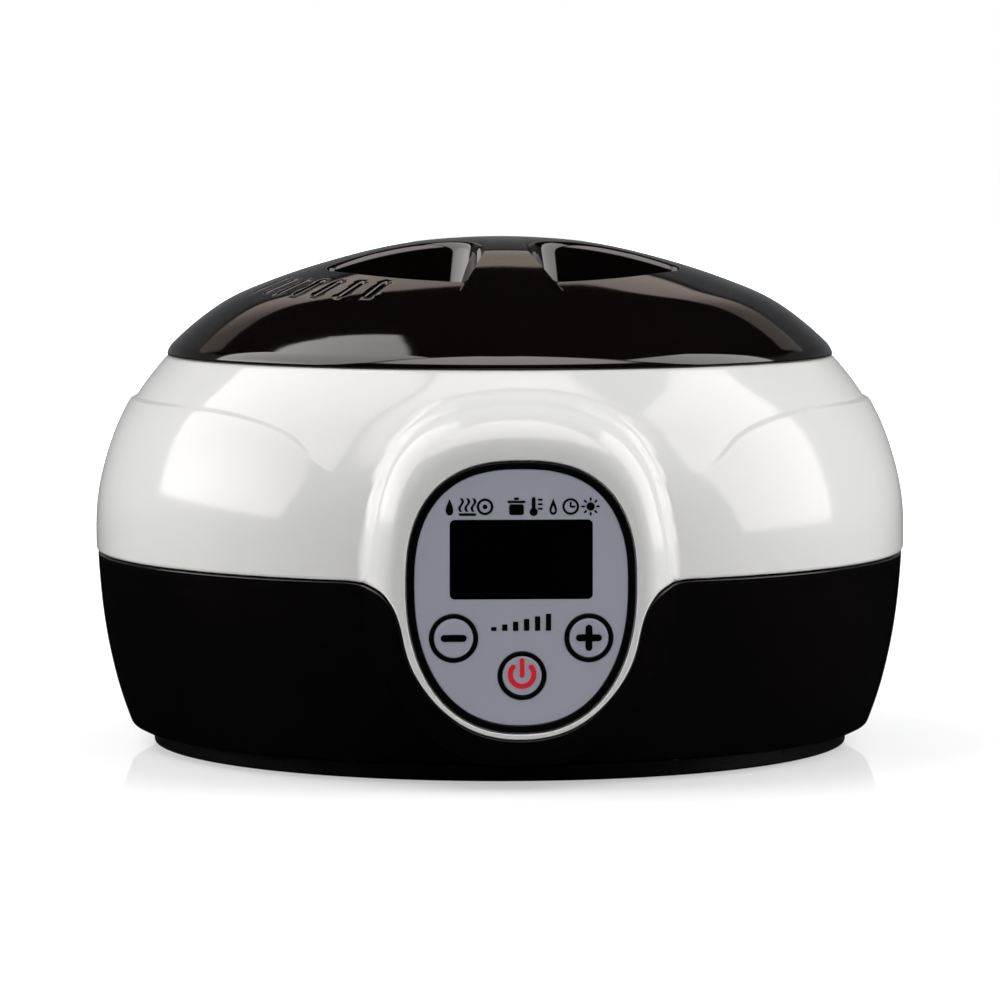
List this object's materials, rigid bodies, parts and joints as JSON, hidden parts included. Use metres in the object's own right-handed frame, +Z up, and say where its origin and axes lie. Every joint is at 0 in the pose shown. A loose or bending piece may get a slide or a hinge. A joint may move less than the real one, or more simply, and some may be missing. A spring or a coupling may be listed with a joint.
{
  "type": "single-pot paraffin wax heater",
  "caption": "Round countertop paraffin wax bath: two-part shell with a digital panel on the front, lift-off domed lid and a removable aluminium wax pot with a folding bail.",
  "frame": {"origin": "centre of the plan on the table plane, under the rubber feet", "axes": "+Z up, the control panel faces -Y, +X to the right of a person looking at the panel"},
  "size_m": [0.22, 0.228, 0.1373],
  "materials": {
    "board_green": "solder mask",
    "capacitor_yellow": "satin",
    "chip_black": "matt",
    "display_grey": "matt",
    "foot_rubber": "matt",
    "fuse_can": "tinned can",
    "fuse_glass": "clear glass with metal clips",
    "glass_wool": "woven glass fibre",
    "gloss_black": "gloss black",
    "grip_black": "matt",
    "header_white": "matt",
    "ink_black": "satin black",
    "inlet_black": "satin",
    "lead_black": "matt",
    "lead_grey": "matt",
    "lead_white": "glass sleeved",
    "lens_black": "gloss smoked lens",
    "mica_band": "mica and foil",
    "panel_grey": "satin grey",
    "pearl_white": "high gloss, pearl white",
    "pin_brass": "plated",
    "pot_aluminium": "brushed",
    "pot_steel": "polished wire",
    "relay_blue": "satin",
    "ribbon_grey": "matt",
    "satin_black": "satin black",
    "sensor_epoxy": "epoxy bead",
    "silicone_red": "matt silicone",
    "smoke_black": "high gloss, black with a smoke tint",
    "spun_aluminium": "spun",
    "switch_black": "matt",
    "switch_stem": "matt",
    "terminal_green": "matt",
    "zinc_steel": "zinc plated"
  },
  "bodies": {
    "pot": {"bail_ears": "pot_steel", "wax_pot": "pot_aluminium"},
    "bail": {"bail_grip": "grip_black", "bail_handle": "pot_steel"},
    "housing": {"band_clamp": "zinc_steel", "base_plate": "satin_black", "base_screws": "zinc_steel", "board_screws": "zinc_steel", "bracket_screw": "zinc_steel", "button_seals": "ink_black", "clamp_screw": "zinc_steel", "control_board": "board_green", "controller_chip": "chip_black", "display_lens": "lens_black", "display_module": "display_grey", "faceplate": "panel_grey", "heater_band": "mica_band", "heater_leads": "lead_white", "heater_well": "spun_aluminium", "housing_screws": "zinc_steel", "inlet_pins": "pin_brass", "inlet_screws": "zinc_steel", "insulation_wrap": "glass_wool", "lower_housing": "gloss_black", "mains_fuse": "fuse_glass", "mains_leads": "lead_black", "panel_bezel": "ink_black", "power_board": "board_green", "power_board_screws": "zinc_steel", "power_inlet": "inlet_black", "relay": "relay_blue", "ribbon_cable": "ribbon_grey", "ribbon_headers": "header_white", "rubber_feet": "foot_rubber", "sensor_bracket": "zinc_steel", "sensor_lead": "lead_grey", "supply_capacitor": "capacitor_yellow", "tact_switches": "switch_black", "terminal_block": "terminal_green", "thermal_fuse": "fuse_can", "thermistor": "sensor_epoxy", "upper_housing": "pearl_white", "well_gasket": "silicone_red", "well_screws": "zinc_steel"},
    "minus_key": {"button_minus": "panel_grey", "plunger_minus": "switch_stem"},
    "plus_key": {"button_plus": "panel_grey", "plunger_plus": "switch_stem"},
    "power_key": {"button_power": "panel_grey", "plunger_power": "switch_stem"},
    "lid_body": {"lid": "smoke_black"}
  },
  "joints": [
    {"name": "pot_lift", "type": "slide", "parent": "housing", "child": "pot", "axis": [0, 0, 1], "range_m": [0, 0.1]},
    {"name": "lid_lift", "type": "slide", "parent": "pot", "child": "lid_body", "axis": [0, 0, 1], "range_m": [0, 0.12]},
    {"name": "bail_swing", "type": "hinge", "parent": "pot", "child": "bail", "pos_m": [0, 0, 0.1095], "axis": [-1, 0, 0], "range_deg": [0, 90]},
    {"name": "minus_press", "type": "slide", "parent": "housing", "child": "minus_key", "axis": [0, 1, 0], "range_m": [0, 0.0006]},
    {"name": "plus_press", "type": "slide", "parent": "housing", "child": "plus_key", "axis": [0, 1, 0], "range_m": [0, 0.0006]},
    {"name": "power_press", "type": "slide", "parent": "housing", "child": "power_key", "axis": [0, 1, 0], "range_m": [0, 0.0006]}
  ],
  "couplings": [
    {"joint": "bail_swing", "follows": "lid_lift", "rad_per_m": 13.08}
  ]
}
